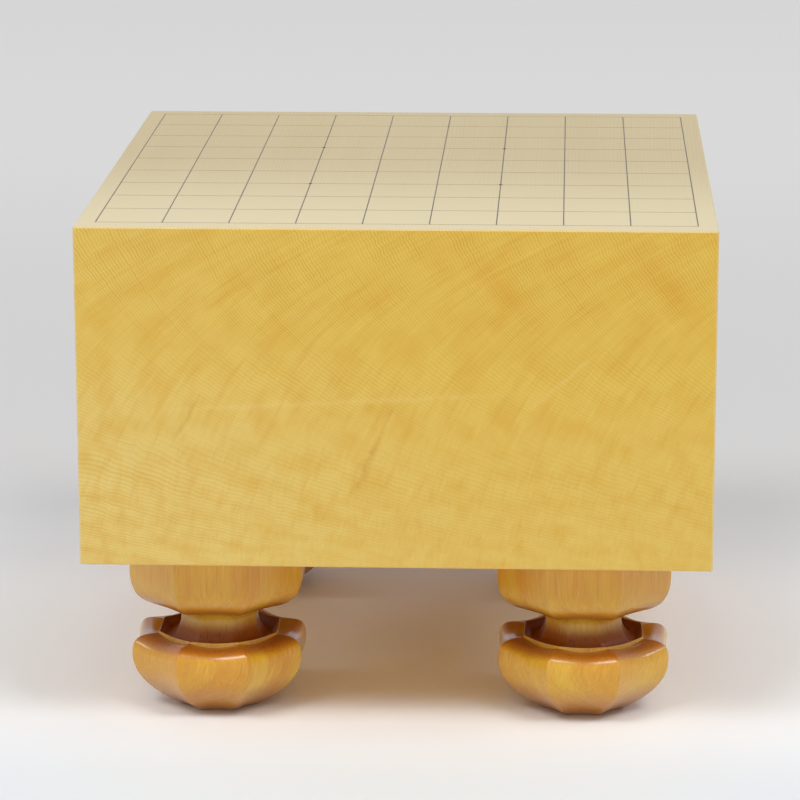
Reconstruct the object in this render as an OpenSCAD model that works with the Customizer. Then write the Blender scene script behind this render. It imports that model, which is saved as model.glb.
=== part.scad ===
// Footed shogi board: one solid block, four carved octagonal legs, and a lacquered grid.
// Millimetres. The origin is on the floor under the centre of the board, +Z is up,
// and -Y is the near player's end, where the block shows its end grain.

/* [Block] */
// Width of the block across the files (1 shaku 1 sun)
board_w = 333; // [330:1:380]
// Length of the block between the players (1 shaku 2 sun)
board_d = 364; // [360:1:420]
// Thickness of the block (a 6 sun block as planed)
board_t = 181.6; // [90:0.2:220]
// Width of the small bevel on every edge of the block
edge_bevel = 0.8; // [0.3:0.1:3]

/* [Lacquered grid] */
// Spacing of the files, which is the width of one square
cell_w = 34.7; // [30:0.1:36]
// Spacing of the ranks, which is the length of one square
cell_d = 37.6; // [33:0.1:39]
// Width of a lacquer line
line_w = 0.6; // [0.5:0.1:1.5]
// Height of a lacquer line above the playing surface
line_h = 0.06; // [0.04:0.01:0.3]
// Diameter of a star point
star_d = 2.4; // [2:0.1:5]
// Height of a star point at its middle
star_h = 0.35; // [0.32:0.01:0.8]

/* [Drying recess in the underside] */
// Width of the square recess
recess_w = 84; // [60:1:100]
// Depth of the recess along its walls
recess_depth = 30; // [20:1:45]
// Depth of the tip of the carved pyramid below the mouth
recess_tip = 12; // [6:1:16]
// Width of the bevel round the mouth
recess_bevel = 3; // [1:0.5:5]

/* [Legs] */
// Height of a leg from the floor to the underside of the block
leg_h = 95.5; // [93:0.5:115]
// Distance from the block's side faces to a leg's axis
leg_inset = 67; // [55:1:80]
// Width of the upper bulb across its flats
bulb_w = 94.4; // [80:0.2:104]
// Height of the upper bulb from the waist to the block
bulb_h = 45.6; // [42:0.1:48]
// Width of the waist across its flats
waist_w = 41; // [34:0.2:46]
// Width of the fruit at its belly, across the flats between its ridges
fruit_w = 92.4; // [84:0.2:104]
// Height of the fruit's belly above the floor
belly_z = 31.5; // [28:0.5:35]
// Height of the ridges between the lobes, where they meet the collar, above the floor
shoulder_z = 41.5; // [40.5:0.1:43]
// How far a lobe's shoulder sinks below the ridges on both sides of it
lobe_drop = 1.6; // [0:0.1:3]
// How far the middle of a lobe is hollowed behind the flat between its ridges
lobe_hollow = 1; // [0.2:0.1:2]
// Width of the flat foot across its ridges' flats
foot_w = 42; // [30:1:50]
// Width of the collar round the waist, across its swelling sides
collar_w = 64.2; // [60:0.2:68]
// How far the middle of a side of the collar swells out
collar_crown = 0.3; // [0.2:0.1:2]
// Height of the collar above the groove at the middle of a lobe
collar_lip = 2.4; // [1:0.1:3.5]
// Depth of the bowl inside the collar
bowl_depth = 5.2; // [3:0.1:6]
// How far the middle of a side swells out on the upper bulb
bulb_crown = 0.4; // [0.1:0.1:1.5]
// How far the middle of a side rises above its ridges on the underside of the upper bulb
bulb_lift = 0.9; // [0:0.1:2]

/* [Leg tenons] */
// Width of the square tenon on top of a leg
tenon_w = 36; // [28:1:44]
// Length of the tenon
tenon_l = 30; // [20:1:40]
// Bevel round the end of the tenon
tenon_bevel = 2; // [0.5:0.5:4]
// Clearance between tenon and mortise, on each side
tenon_fit = 0.05; // [0.02:0.01:0.2]
// Free depth of the mortise past the end of the tenon
mortise_spare = 2; // [1:0.5:5]

/* [Hidden] */
$fn = 48;

CELLS = 9;
STAR_LINE = 3;
SIDES = 8;
STEPS_PER_SIDE = 4;
TURN = SIDES * STEPS_PER_SIDE;
HALF_SIDE = 180 / SIDES;
OVERLAP = 1;

top_z = leg_h + board_t;
grid_w = CELLS * cell_w;
grid_d = CELLS * cell_d;
star_x = (CELLS / 2 - STAR_LINE) * cell_w;
star_y = (CELLS / 2 - STAR_LINE) * cell_d;
leg_x = board_w / 2 - leg_inset;
leg_y = board_d / 2 - leg_inset;
mortise_w = tenon_w + 2 * tenon_fit;
mortise_l = tenon_l + mortise_spare;

KAYA = "khaki";
VARNISHED = "peru";
LACQUER = "#2a201c";

// A rectangle about the origin with its corners cut off.
module bevelled_rectangle(w, d, bevel) {
    x = w / 2;
    y = d / 2;
    polygon([
        [x - bevel, -y], [x, -y + bevel], [x, y - bevel], [x - bevel, y],
        [-x + bevel, y], [-x, y - bevel], [-x, -y + bevel], [-x + bevel, -y],
    ]);
}

// A box on the XY plane with all twelve edges bevelled, as the overlap of three extrusions.
module bevelled_box(w, d, h, bevel) {
    translate([0, 0, h / 2])
    intersection() {
        linear_extrude(h, center = true)
            bevelled_rectangle(w, d, bevel);
        rotate([90, 0, 0])
            linear_extrude(d, center = true)
            bevelled_rectangle(w, h, bevel);
        rotate([90, 0, 90])
            linear_extrude(w, center = true)
            bevelled_rectangle(d, h, bevel);
    }
}

// A square pyramid that stands on the XY plane, as the overlap of two wedges.
// A bottom of its own width below zero carries it into whatever it stands on.
module pyramid(w, h) {
    half = w / 2;
    intersection_for (turn = [0, 90])
        rotate([90, 0, turn])
        linear_extrude(w, center = true)
        polygon([[-half, -OVERLAP], [half, -OVERLAP], [half, 0], [0, h], [-half, 0]]);
}

// Places its children at every leg's axis.
module at_each_leg() {
    for (x = [-leg_x, leg_x], y = [-leg_y, leg_y])
        translate([x, y, 0])
        children();
}

// The square hollow under the block: straight walls, a bevelled mouth, and a pyramid left in it.
module drying_recess() {
    translate([0, 0, leg_h])
    difference() {
        union() {
            translate([0, 0, (recess_depth - OVERLAP) / 2])
                cube([recess_w, recess_w, recess_depth + OVERLAP], center = true);
            pyramid_mouth = recess_w / 2 + recess_bevel;
            pyramid(2 * pyramid_mouth, pyramid_mouth);
        }
        translate([0, 0, recess_depth])
            mirror([0, 0, 1])
            pyramid(recess_w, recess_depth - recess_tip);
    }
}

// The solid block, with a mortise for each leg and the recess in its underside.
module board_block() {
    color(KAYA)
    difference() {
        translate([0, 0, leg_h])
            bevelled_box(board_w, board_d, board_t, edge_bevel);
        at_each_leg()
            translate([0, 0, leg_h + (mortise_l - OVERLAP) / 2])
            cube([mortise_w, mortise_w, mortise_l + OVERLAP], center = true);
        drying_recess();
    }
}

// Points on a cubic curve from a to b with the handles near_a and near_b, without its last point.
function curve(a, near_a, near_b, b, steps) = [
    for (i = [0 : steps - 1])
        let (t = i / steps, s = 1 - t)
        s * s * s * a + 3 * s * s * t * near_a + 3 * s * t * t * near_b + t * t * t * b
];

// Joins the heights and half widths of a stretch at mid-lobe with those at the ridges.
function paired(mid, ridge) = [
    for (i = [0 : len(mid) - 1])
        concat(mid[i], ridge[i])
];

// A stretch whose sides swell by the bulb's crown all along.
function crowned(points) = [
    for (p = points)
        [p[0], p[1], p[0] - bulb_crown, p[1]]
];

// The same, where the middle of a side also rises above its ridges, by bulb_lift at the brow
// and by nothing at the other end of the stretch.
function lifted(points, from_start) = [
    for (i = [0 : len(points) - 1])
        let (
            p = points[i],
            along = i / len(points),
            share = from_start ? 1 - along : along
        )
        [p[0], p[1] + bulb_lift * share, p[0] - bulb_crown, p[1]]
];

foot_r = foot_w / 2;
ridge_r = fruit_w / 2;
lobe_r = ridge_r - lobe_hollow;
collar_r = collar_w / 2;
crest_r = collar_r + (ridge_r - collar_r) * 0.36;
crest_z = shoulder_z - lobe_drop;
collar_z = shoulder_z + 0.9;
lip_dip = 0.8;
lip_z = collar_z - lip_dip;
lip_r = collar_r - 0.4;
groove_r = collar_r + 0.5;
groove_z = lip_z - collar_lip;
notch_r = groove_r - collar_crown;
notch_z = shoulder_z - 0.1;
waist_r = waist_w / 2;
waist_z = leg_h - bulb_h;
bowl_r = waist_r + (lip_r - waist_r) * 0.68;
bowl_z = collar_z - bowl_depth;
brow_r = waist_r + 4.7;
brow_z = waist_z + 5.7;
bulb_r = bulb_w / 2;
cheek_z = leg_h - 16.2;

// The underside of the fruit up to its belly, for points that lie in from the ridges by inset.
function underside(inset) =
    let (foot = foot_r - inset, belly = ridge_r - inset)
    curve([foot, 0], [foot + 11.6, 6.8], [belly, belly_z * 0.55], [belly, belly_z], 9);

// The inner wall of the collar, from its top at r and z down into the bowl.
function bowl_wall(r, z) =
    curve([r, z], [r - 0.6, bowl_z + 1.5], [bowl_r + 1.2, bowl_z], [bowl_r, bowl_z], 4);

// Half the width across the flats against height, at mid-lobe and at the ridges, from the foot
// up to the block. Its stretches are the underside of the fruit, its shoulder, the groove
// outside the collar, the collar, the bowl inside it, the waist, and the upper bulb.
LEG_PROFILE = concat(
    paired(underside(lobe_hollow), underside(0)),
    paired(
        curve(
            [lobe_r, belly_z],
            [lobe_r, belly_z + 3.6],
            [crest_r + 5.8, crest_z - 0.9],
            [crest_r, crest_z],
            7
        ),
        curve(
            [ridge_r, belly_z],
            [ridge_r, belly_z + 5.7],
            [crest_r + 7.6, shoulder_z - 0.5],
            [crest_r, shoulder_z],
            7
        )
    ),
    paired(
        curve(
            [crest_r, crest_z],
            [crest_r - 2, crest_z],
            [groove_r + 1.5, groove_z],
            [groove_r, groove_z],
            4
        ),
        curve(
            [crest_r, shoulder_z],
            [crest_r - 2, shoulder_z],
            [notch_r + 2, notch_z],
            [notch_r, notch_z],
            4
        )
    ),
    [[groove_r, groove_z, notch_r, notch_z]],
    [[collar_r, lip_z, collar_r - collar_crown, collar_z]],
    paired(bowl_wall(lip_r, lip_z), bowl_wall(lip_r - collar_crown, collar_z)),
    crowned(
        curve(
            [bowl_r, bowl_z],
            [bowl_r - 4, bowl_z + 0.4],
            [waist_r + 0.4, bowl_z + 5.5],
            [waist_r, waist_z],
            5
        )
    ),
    lifted(
        curve(
            [waist_r, waist_z],
            [waist_r, waist_z + 3],
            [brow_r - 3.6, brow_z - 0.6],
            [brow_r, brow_z],
            5
        ),
        from_start = false
    ),
    lifted(
        curve(
            [brow_r, brow_z],
            [brow_r + (bulb_r - brow_r) * 0.72, brow_z + 2.8],
            [bulb_r, brow_z + 8.8],
            [bulb_r, cheek_z],
            9
        ),
        from_start = true
    ),
    crowned([[bulb_r, cheek_z], [bulb_r, leg_h]])
);

// How far a turn is from the middle of its own side of the octagon, in degrees.
function off_middle(turn) =
    let (side = turn - 2 * HALF_SIDE * floor(turn / (2 * HALF_SIDE) + 0.5))
    abs(side);

// One point of a carved ring, which runs from its mid-lobe values to those at the ridges.
function carved_point(row, turn) =
    let (
        off = off_middle(turn),
        near_ridge = 1 - cos(off * 90 / HALF_SIDE),
        r = (row[0] + (row[2] - row[0]) * near_ridge) / cos(off),
        z = row[1] + (row[3] - row[1]) * near_ridge
    )
    [r * cos(turn), r * sin(turn), z];

// A closed skin through rings of TURN points each, listed from the bottom up.
module loft(rings) {
    last = len(rings) - 1;
    sides = [
        for (k = [0 : last - 1], i = [0 : TURN - 1])
            let (
                a = k * TURN + i,
                b = k * TURN + (i + 1) % TURN
            )
            each [[a, a + TURN, b], [b, a + TURN, b + TURN]]
    ];
    bottom = [for (i = [0 : TURN - 1]) i];
    top = [for (i = [TURN - 1 : -1 : 0]) last * TURN + i];
    polyhedron(
        points = [for (ring = rings) each ring],
        faces = concat(sides, [bottom, top]),
        convexity = 6
    );
}

// The square peg on top of a leg.
module tenon() {
    translate([0, 0, leg_h - OVERLAP])
    intersection() {
        bevelled_box(tenon_w, tenon_w, tenon_l + OVERLAP, tenon_bevel);
        translate([0, 0, (tenon_l + OVERLAP) / 2])
            cube([tenon_w, tenon_w, tenon_l + OVERLAP], center = true);
    }
}

// One leg, carved from a single piece in the shape of a gardenia fruit.
module carved_leg() {
    color(VARNISHED)
    union() {
        loft([
            for (row = LEG_PROFILE)
                [for (i = [0 : TURN - 1]) carved_point(row, i * 360 / TURN)]
        ]);
        tenon();
    }
}

module leg_front_left() {
    translate([-leg_x, -leg_y, 0])
        carved_leg();
}

module leg_front_right() {
    translate([leg_x, -leg_y, 0])
        carved_leg();
}

module leg_back_left() {
    translate([-leg_x, leg_y, 0])
        carved_leg();
}

module leg_back_right() {
    translate([leg_x, leg_y, 0])
        carved_leg();
}

// Ten files and ten ranks of lacquer, joined where they cross.
module grid_lines() {
    color(LACQUER)
    translate([0, 0, top_z])
    linear_extrude(line_h)
    union() {
        for (i = [0 : CELLS]) {
            translate([i * cell_w - grid_w / 2, 0])
                square([line_w, grid_d + line_w], center = true);
            translate([0, i * cell_d - grid_d / 2])
                square([grid_w + line_w, line_w], center = true);
        }
    }
}

// A shallow drop of lacquer on the XY plane, a quarter of an ellipse turned about Z.
module drop(d, h) {
    rotate_extrude()
        polygon(concat([[0, 0]], [for (a = [0 : 15 : 90]) [d / 2 * cos(a), h * sin(a)]]));
}

// Four drops of lacquer on the grid's third lines, set down over the crossings.
module star_points() {
    color(LACQUER)
    for (x = [-star_x, star_x], y = [-star_y, star_y])
        translate([x, y, top_z])
        difference() {
            drop(star_d, star_h);
            cube([line_w, 2 * star_d, 2 * line_h], center = true);
            cube([2 * star_d, line_w, 2 * line_h], center = true);
        }
}

board_block();
leg_front_left();
leg_front_right();
leg_back_left();
leg_back_right();
grid_lines();
star_points();
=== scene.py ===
"""Footed shogi board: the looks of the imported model, seen from the photograph's angle.

Metres, in the frame of the CAD model: the floor is z = 0, +Z is up, and -Y is the near player's
end, where the block shows its end grain. Lengths inside the wood patterns are in millimetres.
"""
from math import cos, floor, hypot, radians, sin, tan

import bpy
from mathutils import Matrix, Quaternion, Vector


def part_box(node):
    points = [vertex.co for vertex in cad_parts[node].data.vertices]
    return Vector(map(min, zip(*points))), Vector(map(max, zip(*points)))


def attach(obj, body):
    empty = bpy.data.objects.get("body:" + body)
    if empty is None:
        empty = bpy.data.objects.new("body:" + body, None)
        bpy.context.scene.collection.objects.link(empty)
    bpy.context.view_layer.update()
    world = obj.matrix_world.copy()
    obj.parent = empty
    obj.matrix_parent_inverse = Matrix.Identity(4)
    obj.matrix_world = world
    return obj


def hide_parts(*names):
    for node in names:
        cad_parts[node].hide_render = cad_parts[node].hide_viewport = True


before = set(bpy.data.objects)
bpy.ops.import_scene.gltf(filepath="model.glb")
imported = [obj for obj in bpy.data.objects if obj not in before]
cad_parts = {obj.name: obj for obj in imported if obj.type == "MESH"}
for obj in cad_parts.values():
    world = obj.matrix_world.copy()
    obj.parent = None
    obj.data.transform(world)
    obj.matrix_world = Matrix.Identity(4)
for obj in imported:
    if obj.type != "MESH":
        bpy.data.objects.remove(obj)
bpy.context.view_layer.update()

MM = 0.001

# From the boxes of the CAD nodes, in metres. The bulb is the widest part of a leg, and the tenon
# its highest.
BLOCK_LOW, BLOCK_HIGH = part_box("board_block")
UNDERSIDE = BLOCK_LOW[2]
TOP = BLOCK_HIGH[2]
LEG_LOW, LEG_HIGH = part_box("leg_front_right")
LEG_X = (LEG_LOW[0] + LEG_HIGH[0]) / 2
LEG_Y = -(LEG_LOW[1] + LEG_HIGH[1]) / 2
BULB_R = (LEG_HIGH[0] - LEG_LOW[0]) / 2
TENON_TOP = LEG_HIGH[2]


# Arithmetic on the nodes of a shader

class Wire:
    """An output of a node, with arithmetic that adds nodes to its tree."""

    def __init__(self, tree, socket):
        self.tree = tree
        self.socket = socket

    def math(self, operation, *others):
        node = self.tree.nodes.new("ShaderNodeMath")
        node.operation = operation
        for place, value in enumerate((self,) + others):
            feed(node.inputs[place], value)
        return Wire(self.tree, node.outputs[0])

    def __add__(self, other):
        return self.math("ADD", other)

    def __sub__(self, other):
        return self.math("SUBTRACT", other)

    def __rsub__(self, other):
        return (self * -1) + other

    def __mul__(self, other):
        return self.math("MULTIPLY", other)

    def __truediv__(self, other):
        return self.math("DIVIDE", other)

    def __pow__(self, other):
        return self.math("POWER", other)

    def __abs__(self):
        return self.math("ABSOLUTE")

    __radd__ = __add__
    __rmul__ = __mul__

    def step(self, start, end):
        """0 at start, 1 at end, and smooth between them."""
        node = self.tree.nodes.new("ShaderNodeMapRange")
        node.interpolation_type = "SMOOTHSTEP"
        feed(node.inputs["Value"], self)
        feed(node.inputs["From Min"], start)
        feed(node.inputs["From Max"], end)
        return Wire(self.tree, node.outputs["Result"])

    def bump(self, centre, width):
        """A bell of height 1 round a centre, which falls to about a third at its width."""
        away = (self - centre) / width
        return (away * away * -1).math("EXPONENT")


def feed(socket, value):
    """Sets an input, or links it if the value is a wire."""
    if isinstance(value, Wire):
        value.tree.links.new(value.socket, socket)
    else:
        socket.default_value = value


def vector(x, y, z):
    """One vector from three values, of which at least one is a wire."""
    wires = [v for v in (x, y, z) if isinstance(v, Wire)]
    tree = wires[0].tree
    node = tree.nodes.new("ShaderNodeCombineXYZ")
    for place, value in enumerate((x, y, z)):
        feed(node.inputs[place], value)
    return Wire(tree, node.outputs[0])


def parts(tree, socket):
    """The x, y and z of a vector socket."""
    node = tree.nodes.new("ShaderNodeSeparateXYZ")
    tree.links.new(socket, node.inputs[0])
    return [Wire(tree, out) for out in node.outputs]


NOISE_SPREAD = 3.2


def noise(x, y=0.0, z=0.0, detail=2.0, roughness=0.5):
    """Smooth noise from about -1 to 1, with features about 1 wide in each of its coordinates."""
    place = vector(x, y, z)
    node = place.tree.nodes.new("ShaderNodeTexNoise")
    node.inputs["Scale"].default_value = 1.0
    node.inputs["Detail"].default_value = detail
    node.inputs["Roughness"].default_value = roughness
    feed(node.inputs["Vector"], place)
    return (Wire(place.tree, node.outputs[0]) - 0.5) * NOISE_SPREAD


def random_by(number):
    """One random value from 0 to 1 for each whole number."""
    node = number.tree.nodes.new("ShaderNodeTexWhiteNoise")
    node.noise_dimensions = "1D"
    feed(node.inputs["W"], number)
    return Wire(number.tree, node.outputs["Value"])


def mix(factor, a, b, blend="MIX"):
    """Colour a where the factor is 0, and b where it is 1."""
    node = factor.tree.nodes.new("ShaderNodeMix")
    node.data_type = "RGBA"
    node.blend_type = blend
    node.clamp_factor = True
    factor_in, a_in, b_in = node.inputs[0], node.inputs[6], node.inputs[7]
    feed(factor_in, factor)
    feed(a_in, a)
    feed(b_in, b)
    return Wire(factor.tree, node.outputs[2])


def srgb(r, g, b):
    """A colour written as it shows on a screen, 0 to 255, as the shaders take it."""

    def linear(v):
        v = v / 255
        return v / 12.92 if v <= 0.04045 else ((v + 0.055) / 1.055) ** 2.4
    return (linear(r), linear(g), linear(b), 1.0)


def new_material(name, **settings):
    """A Principled material. The settings name inputs of its shader, such as coat_weight."""
    material = bpy.data.materials.new(name)
    material.use_nodes = True
    shader = material.node_tree.nodes["Principled BSDF"]
    for key, value in settings.items():
        shader.inputs[key.replace("_", " ").title().replace("Ior", "IOR")].default_value = value
    return material, material.node_tree, shader


def add_bump(tree, shader, height, distance, strength):
    """Fine relief of the surface. The distance is in metres."""
    node = tree.nodes.new("ShaderNodeBump")
    node.inputs["Strength"].default_value = strength
    node.inputs["Distance"].default_value = distance
    feed(node.inputs["Height"], height)
    tree.links.new(node.outputs["Normal"], shader.inputs["Normal"])


def vary_roughness(shader, change):
    """Adds a change from point to point to the roughness that the material was made with."""
    socket = shader.inputs["Roughness"]
    feed(socket, socket.default_value + change)


def place_and_normal(tree):
    """The point in millimetres and the normal, in the CAD frame. Both stay with a moved piece."""
    node = tree.nodes.new("ShaderNodeTexCoord")
    point = [axis * (1 / MM) for axis in parts(tree, node.outputs["Object"])]
    return point, parts(tree, node.outputs["Normal"])


# Materials

# Depth of the fine relief of each finish, in metres.
WOOD_RELIEF = 0.00008
LACQUER_RELIEF = 0.00002


def stroke(across, down, start, end, width):
    """1 along a nearly straight mark on a face, fading at its sides and ends."""
    length = hypot(end[0] - start[0], end[1] - start[1])
    turn_x, turn_y = (end[0] - start[0]) / length, (end[1] - start[1]) / length
    along = (across - start[0]) * turn_x + (down - start[1]) * turn_y
    aside = (across - start[0]) * turn_y - (down - start[1]) * turn_x + noise(along / 9) * width
    ends = along.step(0.0, length * 0.3) * along.step(length, length * 0.7)
    return aside.bump(0.0, width) * ends * (0.75 + 0.5 * noise(along / 5))


def year_rings(course, period):
    """The dark late wood of rings about a period apart, from 0 to 1."""
    count = course / period
    count = count + noise(count / 6) * 0.35
    tone = random_by(count.math("FLOOR"))
    season = count.math("FRACT")
    return season.step(0.2, 0.8) * season.step(1.0, 0.9) * (0.65 + 0.35 * tone)


def kaya():
    """Waxed kaya: golden end grain with rings and rays, and cream long grain on the other faces."""
    material, tree, shader = new_material("kaya_block", roughness=0.5, specular_ior_level=0.3)
    (x, y, z), (_, ny, nz) = place_and_normal(tree)
    depth = TOP / MM - z

    # Rings fall to the right, steeply near the top and less and less below. Rays cross them
    # at right angles everywhere, because the slopes of the two functions multiply to -1.
    reach, ring_slope, ray_slope = 72.0, 33.0, 158.0
    growth = (depth / reach).math("EXPONENT")
    ring = x - ring_slope * (growth - 1.0)
    ray = x + ray_slope * (1.0 - (growth ** -1.0))

    wander = noise(x / 120, y / 260, z / 120) * 3.0
    jogs = noise(ray / 3.4, ring / 45, y / 200, detail=3.0) * 0.45
    jogs = (jogs + noise(ray / 10, ring / 60, y / 200)) * (1.0 + 1.5 * depth.step(60, 150))
    left_low = x.step(-60, -150) * depth.step(85, 130)
    swirl = noise(x / 26, y / 300, z / 30) * left_low * 9.0
    course = ring + wander + jogs + swirl

    # The rings of one course draw together as they flatten out, so fewer of them show lower down.
    close, medium, wide = 1.9, 3.5, 7.2
    upper, lower = depth.step(82, 55), depth.step(100, 135)
    late = year_rings(course, close) * upper + year_rings(course, wide) * lower
    late = late + year_rings(course, medium) * (1.0 - upper - lower)
    group = noise(course / 15, ray / 60, y / 300).step(-0.9, 0.9)
    late = late * (0.45 + 0.55 * group) * (1.0 - 0.6 * depth.step(30, 110))
    late = late * (1.0 + 0.6 * left_low)
    broad = noise(course / 30, ray / 120, y / 300)

    streak = noise(ray / 1.3, ring / 30, y / 40, detail=3.0, roughness=0.6)
    bright_ray = streak.step(0.0, 1.0)
    dark_ray = streak.step(0.0, -1.0)

    # The end grain, pale towards the left and golden in clouds and bands along the rays.
    base = mix(depth.step(40, 170), srgb(217, 184, 80), srgb(215, 186, 96))
    pale_left = x.step(60, -170) * (0.35 + 0.65 * depth.step(50, 130))
    pale_left = pale_left + 0.5 * noise(x / 26, y / 200, z / 20).step(0.2, 1.2) * x.step(20, -120)
    base = mix(pale_left * 0.75, base, srgb(220, 198, 122))
    cloud = noise(ray / 22, ring / 30, y / 200)
    band = noise(ray / 6, ring / 60, y / 200)
    base = mix(cloud.step(-0.5, 1.0) * 0.42, base, srgb(207, 158, 52))
    base = mix(band.step(-0.2, 1.0) * 0.32, base, srgb(204, 153, 52))
    patches = course.bump(38, 9) * depth.bump(32, 16)
    patches = patches + course.bump(124, 9) * depth.bump(30, 20)
    base = mix(patches * 0.45, base, srgb(206, 150, 44))
    base = mix(late * 0.54, base, srgb(180, 137, 24))
    base = mix(dark_ray * 0.22, base, srgb(190, 146, 40))
    end_colour = mix(bright_ray * 0.26, base, srgb(230, 202, 106))

    # Single marks: where each starts and ends, from the middle and down from the top, then its
    # width, its strength and its colour.
    pale, dark = srgb(226, 202, 128), srgb(186, 134, 44)
    for start, end, width, strength, colour in (
        ((-155, 99), (84, 86), 1.5, 0.30, pale),
        ((66, 99), (110, 60), 1.2, 0.28, pale),
        ((-23, 145), (-7, 108), 1.9, 0.50, dark),
        ((-14, 124), (2, 88), 1.1, 0.30, dark),
        ((-116, 114), (-100, 86), 1.2, 0.42, dark),
    ):
        end_colour = mix(stroke(x, depth, start, end, width) * strength, end_colour, colour)

    # The long grain. The playing surface has a painted sheen, lighter near the viewer, and painted
    # shade that makes it darker than the sides all over. The underside is gold.
    fibre = noise(x * 1.6, y / 34, z * 1.6, detail=3.0, roughness=0.7)
    long_base = mix(broad.step(-1.0, 1.0) * 0.4, srgb(228, 212, 176), srgb(220, 202, 162))
    long_base = mix(late * 0.25, long_base, srgb(200, 174, 124))
    long_colour = mix(fibre.step(0.1, 1.3) * 0.16, long_base, srgb(196, 170, 122))
    top = nz.step(0.5, 0.9)
    # Painted sheen: the playing surface is lighter towards its near edge.
    long_colour = mix(top * y.step(50, -185), long_colour, srgb(250, 236, 204))
    # Painted shade: the whole playing surface is darkened to offset the stronger light that falls
    # on it from above.
    top_painted_shade = (0.78, 0.78, 0.70, 1.0)
    long_colour = mix(top, long_colour, top_painted_shade, "MULTIPLY")
    long_colour = mix(nz.step(-0.5, -0.9), long_colour, srgb(249, 186, 60))

    end_face = abs(ny).step(0.55, 0.85)
    feed(shader.inputs["Base Color"], mix(end_face, long_colour, end_colour))
    relief = (late * -0.5 + bright_ray * 0.25 - dark_ray * 0.2) * end_face + fibre * 0.15
    add_bump(tree, shader, relief, WOOD_RELIEF, 0.4)
    vary_roughness(shader, 0.03 * fibre - 0.05 * streak * end_face)
    return material


def varnished_wood():
    """Honey-coloured wood under clear varnish, darker and redder where cut across the grain."""
    material, tree, shader = new_material(
        "leg_varnish", roughness=0.45, specular_ior_level=0.2, coat_weight=1.0, coat_roughness=0.2,
        coat_ior=1.5,
    )
    (x, y, z), (nx, ny, nz) = place_and_normal(tree)
    out_x = abs(x) - LEG_X / MM
    out_y = abs(y) - LEG_Y / MM

    # Rings about a pith that lies inwards of each leg, so that left mirrors right and front back.
    from_pith_x, from_pith_y = out_x + 100, out_y + 104
    across = (from_pith_x ** 2.0 + from_pith_y ** 2.0) ** 0.5
    wander = noise(x / 26, y / 26, z / 60) * 2.2
    course = across + z * 0.10 + wander
    ring_width = 1.15
    count = course / ring_width
    count = count + noise(count / 5) * 1.1
    tone = random_by(count.math("FLOOR"))
    season = count.math("FRACT")
    mirror_x, mirror_y = x / abs(x), y / abs(y)
    facing = abs(from_pith_x * mirror_x * nx + from_pith_y * mirror_y * ny) / across
    late = (season ** 1.4) * (0.15 + 0.85 * tone * tone) * facing.step(0.995, 0.9)
    broad = noise(count / 9, z / 70, x / 50)
    lean = z.bump(12, 16) * 6
    fibre = noise(x * 0.8 + lean, y * 0.8, z / 26, detail=3.0, roughness=0.65)
    flame = noise(count / 1.1, z / 24, y / 40, detail=3.0, roughness=0.6)

    colour = mix(broad.step(-1.0, 1.0), srgb(214, 173, 50), srgb(202, 140, 28))
    colour = mix(late * 0.22, colour, srgb(168, 100, 28))
    colour = mix(flame.step(0.1, 1.1) * 0.5, colour, srgb(230, 190, 78))
    colour = mix(fibre.step(0.0, 0.9) * 0.40, colour, srgb(176, 104, 34))
    colour = mix(fibre.step(0.0, -0.9) * 0.36, colour, srgb(228, 186, 76))

    # The stain is darker and redder on grain that is cut across. In the bowl under the bulb the
    # colour is darker still, partly as pooled stain and partly as painted shade of the recess; the
    # bowl also has less varnish.
    cut_across = abs(nz).step(0.35, 0.98)
    colour = mix(cut_across * 0.8, colour, srgb(156, 76, 18))
    side_x, side_y = abs(out_x), abs(out_y)
    from_axis = side_x.math("MAXIMUM", side_y).math("MAXIMUM", (side_x + side_y) * cos(radians(45)))
    bowl_r = 31.95
    in_bowl = from_axis.step(bowl_r, bowl_r - 0.25) * z.step(32, 35) * z.step(51, 43)
    # Pooled stain and painted shade darken the bowl, and the dark streaks below deepen it there.
    colour = mix(in_bowl * 0.85, colour, srgb(146, 62, 16))
    streaks = noise(x / 1.1, y / 1.1, z / 9, detail=2.0)
    dark = (cut_across * 0.5).math("MAXIMUM", in_bowl * 0.6)
    colour = mix(dark * streaks.step(0.0, 1.0), colour, srgb(92, 32, 10))
    feed(shader.inputs["Base Color"], colour)
    feed(shader.inputs["Coat Weight"], 1.0 - 0.8 * in_bowl)
    add_bump(tree, shader, late * -0.3 + fibre * 0.2, WOOD_RELIEF, 0.4)
    vary_roughness(shader, 0.05 * fibre)
    return material


def lacquer():
    """Black-brown lacquer, laid by hand. It thins out at the sides of a line, where wood shows."""
    material, tree, shader = new_material("lacquer_line", roughness=0.32)
    (x, y, z), (_, _, nz) = place_and_normal(tree)
    thin = noise(x / 9, y / 9, z / 9, detail=3.0)
    top_colour = mix(thin.step(-0.4, 1.2), srgb(74, 62, 52), srgb(106, 90, 74))
    edge = nz.step(0.75, 0.25)
    feed(shader.inputs["Base Color"], mix(edge, top_colour, srgb(206, 186, 150)))
    vary_roughness(shader, 0.06 * thin)
    add_bump(tree, shader, thin, LACQUER_RELIEF, 0.5)
    return material


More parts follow.
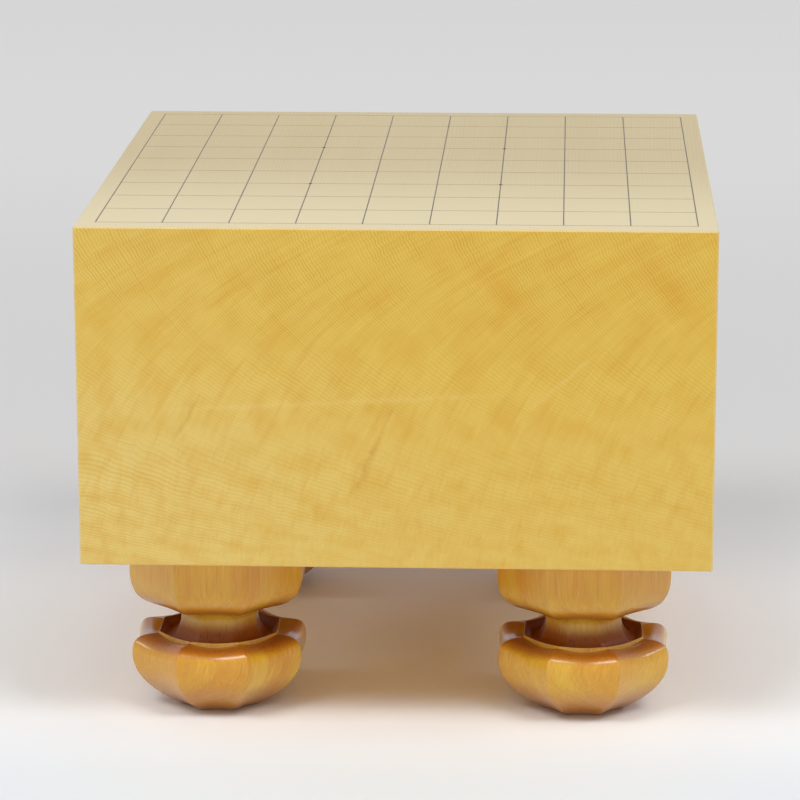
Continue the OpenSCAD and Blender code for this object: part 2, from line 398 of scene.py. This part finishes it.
def floor_paper(backdrop):
    """Pale paper with painted light and shade in its colour, which the camera and reflections see
    fade into the backdrop far off.
    """
    material, tree, shader = new_material("floor_paper", roughness=0.9, specular_ior_level=0.1)
    (x, y, _), _ = place_and_normal(tree)
    # Painted light: the paper is whiter and bluer under and beside the board, to offset its shadow
    # and the warm fill.
    painted_floor_light = mix(y.step(-120, -260), srgb(246, 250, 254), srgb(230, 237, 244))
    # Painted shade: the paper is darker behind the board, where the light falls off.
    painted_floor_light = mix(y.step(60, 420), painted_floor_light, srgb(212, 212, 212))
    painted_floor_light = mix(y.step(700, 1800), painted_floor_light, srgb(222, 223, 223))
    feed(shader.inputs["Base Color"], painted_floor_light)

    path = tree.nodes.new("ShaderNodeLightPath")
    seen = Wire(tree, path.outputs["Is Camera Ray"])
    for switch in ("Is Glossy Ray", "Is Transmission Ray"):
        seen = seen.math("MAXIMUM", Wire(tree, path.outputs[switch]))
    far_off = ((x * x + y * y) ** 0.5).step(2000, 6000)
    paint = tree.nodes.new("ShaderNodeEmission")
    feed(paint.inputs["Color"], backdrop)
    fade = tree.nodes.new("ShaderNodeMixShader")
    feed(fade.inputs[0], far_off * seen)
    tree.links.new(shader.outputs[0], fade.inputs[1])
    tree.links.new(paint.outputs[0], fade.inputs[2])
    tree.links.new(fade.outputs[0], tree.nodes["Material Output"].inputs["Surface"])
    return material


# Legs

def curve(a, near_a, near_b, b, steps):
    """Points on a cubic curve from a to b, without its last point."""
    points = []
    for i in range(steps):
        t = i / steps
        s = 1 - t
        weights = (s * s * s, 3 * s * s * t, 3 * s * t * t, t * t * t)
        knots = (a, near_a, near_b, b)
        points.append(tuple(sum(w * k[axis] for w, k in zip(weights, knots)) for axis in (0, 1)))
    return points


def leg_rows():
    """Rings of a leg from the foot up, in millimetres.

    Each gives half the width across the flats and the height, first at mid-lobe and then at the
    ridges between the lobes. Names that end in _r are half widths, and names that end in _z are
    heights. The lengths that are added to them in a curve place its handles.
    """
    leg_h = UNDERSIDE / MM
    bulb_r = BULB_R / MM
    bulb_h, cheek_h, bowl_depth = 45.6, 16.2, 5.2
    foot_r, ridge_r, collar_r, waist_r = 21.0, 46.2, 32.1, 20.5
    hollow, collar_crown, bulb_crown = 1.0, 0.3, 0.4
    lobe_r = ridge_r - hollow
    belly_z, shoulder_z = 31.5, 41.5
    crest_r, crest_z = collar_r + (ridge_r - collar_r) * 0.36, shoulder_z - 1.6
    collar_z = shoulder_z + 0.9
    lip_r, lip_z = collar_r - 0.4, collar_z - 0.8
    groove_r, groove_z = collar_r + 0.5, lip_z - 2.4
    notch_r, notch_z = groove_r - collar_crown, shoulder_z - 0.1
    waist_z = leg_h - bulb_h
    bowl_r, bowl_z = waist_r + (lip_r - waist_r) * 0.68, collar_z - bowl_depth
    brow_r, brow_z, bulb_lift = waist_r + 4.7, waist_z + 5.7, 0.9
    cheek_z = leg_h - cheek_h

    def paired(mid, ridge):
        """Rings from their points at mid-lobe and their points at the ridges."""
        return [m + r for m, r in zip(mid, ridge)]

    def crowned(points):
        """Rings whose sides bulge a little between the ridges."""
        return [(r, z, r - bulb_crown, z) for r, z in points]

    def lifted(points, from_start):
        """Crowned rings that also rise at mid-lobe, most at the start or at the end."""
        rings = []
        for i, (r, z) in enumerate(points):
            along = i / len(points)
            share = 1 - along if from_start else along
            rings.append((r, z + bulb_lift * share, r - bulb_crown, z))
        return rings

    def underside(inset):
        """From the foot up to where the fruit is widest, at an inset from the ridges."""
        foot, belly = foot_r - inset, ridge_r - inset
        return curve((foot, 0), (foot + 11.6, 6.8), (belly, belly_z * 0.55), (belly, belly_z), 22)

    def bowl_wall(r, z):
        """From the lip down into the bowl round the neck."""
        return curve((r, z), (r - 0.6, bowl_z + 1.5), (bowl_r + 1.2, bowl_z), (bowl_r, bowl_z), 8)

    rows = paired(underside(hollow), underside(0))
    rows += paired(
        curve(
            (lobe_r, belly_z), (lobe_r, belly_z + 3.6),
            (crest_r + 5.8, crest_z - 0.9), (crest_r, crest_z), 18,
        ),
        curve(
            (ridge_r, belly_z), (ridge_r, belly_z + 5.7),
            (crest_r + 7.6, shoulder_z - 0.5), (crest_r, shoulder_z), 18,
        ),
    )
    rows += paired(
        curve(
            (crest_r, crest_z), (crest_r - 2, crest_z),
            (groove_r + 1.5, groove_z), (groove_r, groove_z), 8,
        ),
        curve(
            (crest_r, shoulder_z), (crest_r - 2, shoulder_z),
            (notch_r + 2, notch_z), (notch_r, notch_z), 8,
        ),
    )
    rows += [(groove_r, groove_z, notch_r, notch_z)]
    rows += [(collar_r, lip_z, collar_r - collar_crown, collar_z)]
    rows += paired(bowl_wall(lip_r, lip_z), bowl_wall(lip_r - collar_crown, collar_z))
    rows += crowned(curve(
        (bowl_r, bowl_z), (bowl_r - 4, bowl_z + 0.4),
        (waist_r + 0.4, bowl_z + 5.5), (waist_r, waist_z), 12,
    ))
    rows += lifted(curve(
        (waist_r, waist_z), (waist_r, waist_z + 3),
        (brow_r - 3.6, brow_z - 0.6), (brow_r, brow_z), 10,
    ), from_start=False)
    rows += lifted(curve(
        (brow_r, brow_z), (brow_r + (bulb_r - brow_r) * 0.72, brow_z + 2.8),
        (bulb_r, brow_z + 8.8), (bulb_r, cheek_z), 20,
    ), from_start=True)
    rows += crowned([(bulb_r, cheek_z), (bulb_r, (cheek_z + leg_h) / 2), (bulb_r, leg_h)])
    return rows


# Degrees from the middle of a side of the octagon to its corner, and the points between them.
SIDES = 8
HALF_SIDE = 180 / SIDES
OFFSETS = (0, 4, 8, 12, 15.5, 18, 20, 21.2, 22, 22.5)

# How far from a ridge its softening starts, as a length in millimetres.
SOFTENING = 0.7

# Faces that meet at more than this are shaded with an edge between them.
EDGE_ANGLE = radians(34)


def leg_turns():
    """Angles round a leg, closer together near the corners of the octagon."""
    turns = []
    for side in range(SIDES):
        middle = side * 2 * HALF_SIDE
        turns += [middle - off for off in reversed(OFFSETS[1:])]
        turns += [middle + off for off in OFFSETS[:-1]]
    return turns


def off_middle(turn):
    """Degrees from the middle of the side of the octagon that a turn lies on."""
    return abs(turn - 2 * HALF_SIDE * floor(turn / (2 * HALF_SIDE) + 0.5))


def carved_point(row, turn):
    """A point of a ring, which runs from its mid-lobe values to a slightly softened ridge."""
    mid_r, mid_z, ridge_r, ridge_z = row
    off = off_middle(turn)
    near_ridge = 1 - cos(radians(off * 90 / HALF_SIDE))
    r = (mid_r + (ridge_r - mid_r) * near_ridge) / cos(radians(off))
    to_corner = ridge_r * (tan(radians(HALF_SIDE)) - tan(radians(off)))
    if to_corner < SOFTENING:
        slope = tan(radians(HALF_SIDE)) - 90 / HALF_SIDE * (mid_r - ridge_r) / ridge_r
        r -= slope * (SOFTENING - to_corner) ** 2 / (2 * SOFTENING)
    height = mid_z + (ridge_z - mid_z) * near_ridge
    return (r * cos(radians(turn)), r * sin(radians(turn)), height)


def square_point(half, height, turn):
    """A point of a square ring, whose half width and height are given."""
    c, s = cos(radians(turn)), sin(radians(turn))
    r = half / max(abs(c), abs(s))
    return (r * c, r * s, height)


def make_leg(name, x, y, material):
    """One leg with its tenon, as a single closed skin. Its axis stands at x and y, in metres."""
    turns = leg_turns()
    rings = [[carved_point(row, turn) for turn in turns] for row in leg_rows()]
    tenon_r, bevel = 18.0, 2.0
    for half, height in (
        (tenon_r, UNDERSIDE / MM),
        (tenon_r, TENON_TOP / MM - bevel),
        (tenon_r - bevel, TENON_TOP / MM),
    ):
        rings.append([square_point(half, height, turn) for turn in turns])
    n = len(turns)
    points = [(x + px * MM, y + py * MM, pz * MM) for ring in rings for px, py, pz in ring]
    faces = []
    for k in range(len(rings) - 1):
        for i in range(n):
            a, b = k * n + i, k * n + (i + 1) % n
            faces.append((a, b, b + n, a + n))
    faces.append(tuple(reversed(range(n))))
    faces.append(tuple((len(rings) - 1) * n + i for i in range(n)))
    mesh = bpy.data.meshes.new(name)
    mesh.from_pydata(points, [], faces)
    mesh.materials.append(material)
    mesh.shade_smooth()
    mesh.set_sharp_from_angle(angle=EDGE_ANGLE)
    leg = bpy.data.objects.new(name, mesh)
    bpy.context.scene.collection.objects.link(leg)
    return leg


# The scene

def add_camera():
    """The camera that was fitted to the corners of the block and the grid in the photograph."""
    heading, down, roll = 0.04649, 0.24278, -0.00157
    data = bpy.data.cameras.new("photo_camera")
    data.sensor_width = 36.0
    data.lens = 166.397
    camera = bpy.data.objects.new("photo_camera", data)
    camera.location = (0.08937, -2.04552, TOP + 0.37158)
    camera.rotation_mode = "QUATERNION"
    turn = Quaternion((0, 0, 1), heading) @ Quaternion((1, 0, 0), radians(90) - down)
    camera.rotation_quaternion = turn @ Quaternion((0, 0, 1), roll)
    bpy.context.scene.collection.objects.link(camera)
    bpy.context.scene.camera = camera


def add_floor(material):
    """A square of floor under the board."""
    half = 9.0
    mesh = bpy.data.meshes.new("floor")
    mesh.from_pydata(
        [(-half, -half, 0), (half, -half, 0), (half, half, 0), (-half, half, 0)], [], [(0, 1, 2, 3)]
    )
    mesh.materials.append(material)
    floor_object = bpy.data.objects.new("floor", mesh)
    bpy.context.scene.collection.objects.link(floor_object)


# In metres.
LAMP_DISTANCE = 20.0
AIM_HEIGHT = 0.15


def add_softbox(name, watts, size, azimuth, elevation):
    """A lamp that faces the middle of the board. Azimuth 0 is the near player's side.

    It is far off, so that its light doesn't fall off across the board.
    """
    data = bpy.data.lights.new(name, "AREA")
    data.shape = "RECTANGLE"
    data.size, data.size_y = size
    data.energy = watts
    lamp = bpy.data.objects.new(name, data)
    a, e = radians(azimuth), radians(elevation)
    lamp.location = (
        LAMP_DISTANCE * sin(a) * cos(e),
        -LAMP_DISTANCE * cos(a) * cos(e),
        AIM_HEIGHT + LAMP_DISTANCE * sin(e),
    )
    lamp.rotation_euler = (radians(90) - e, 0.0, a)
    bpy.context.scene.collection.objects.link(lamp)


def add_world(warm, cool, ambient, backdrop):
    """Even light from all round, with warm light from low down in front and cool light behind.

    The camera and reflections see a pale backdrop in its place.
    """
    world = bpy.data.worlds.new("studio")
    bpy.context.scene.world = world
    world.use_nodes = True
    tree = world.node_tree
    tree.nodes.clear()
    out = tree.nodes.new("ShaderNodeOutputWorld")
    path = tree.nodes.new("ShaderNodeLightPath")
    place = tree.nodes.new("ShaderNodeTexCoord")
    _, back, up = parts(tree, place.outputs["Generated"])

    def below(full, none):
        """1 under the first elevation and 0 above the second, in degrees."""
        return up.step(sin(radians(none)), sin(radians(full)))

    in_front = back.step(-0.3, -0.8) * below(18, 34)
    behind = back.step(0.3, 0.8) * below(28, 44)
    light = mix(behind, mix(in_front, ambient, warm), cool)

    def background(colour):
        node = tree.nodes.new("ShaderNodeBackground")
        feed(node.inputs["Color"], colour)
        return node.outputs[0]

    def either(switch, off, on):
        node = tree.nodes.new("ShaderNodeMixShader")
        tree.links.new(path.outputs[switch], node.inputs[0])
        tree.links.new(off, node.inputs[1])
        tree.links.new(on, node.inputs[2])
        return node.outputs[0]

    seen = background(light)
    for switch in ("Is Glossy Ray", "Is Transmission Ray", "Is Camera Ray"):
        seen = either(switch, seen, background(backdrop))
    tree.links.new(seen, out.inputs["Surface"])


bpy.context.scene.view_settings.view_transform = "Standard"

add_camera()
BACKDROP = srgb(214, 214, 215)
add_floor(floor_paper(BACKDROP))
add_world(
    warm=(1.10, 0.86, 0.60, 1.0), cool=(0.85, 0.86, 0.98, 1.0), ambient=(0.26, 0.26, 0.265, 1.0),
    backdrop=BACKDROP,
)
add_softbox("key_left", 1450, (8.0, 6.5), -36, 53)
add_softbox("key_right", 1450, (8.0, 6.5), 44, 53)
add_softbox("side_left", 330, (3.4, 3.4), -82, 32)
add_softbox("side_right", 330, (3.4, 3.4), 88, 38)

WOOD = kaya()
VARNISH = varnished_wood()
LACQUER = lacquer()
for node, material in (("board_block", WOOD), ("grid_lines", LACQUER), ("star_points", LACQUER)):
    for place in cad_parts[node].material_slots:
        place.material = material

for end, y in (("front", -LEG_Y), ("back", LEG_Y)):
    for side, x in (("left", -LEG_X), ("right", LEG_X)):
        leg = make_leg(f"carved_leg_{end}_{side}", x, y, VARNISH)
        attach(leg, f"{end}_{side}_leg")
        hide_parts(f"leg_{end}_{side}")
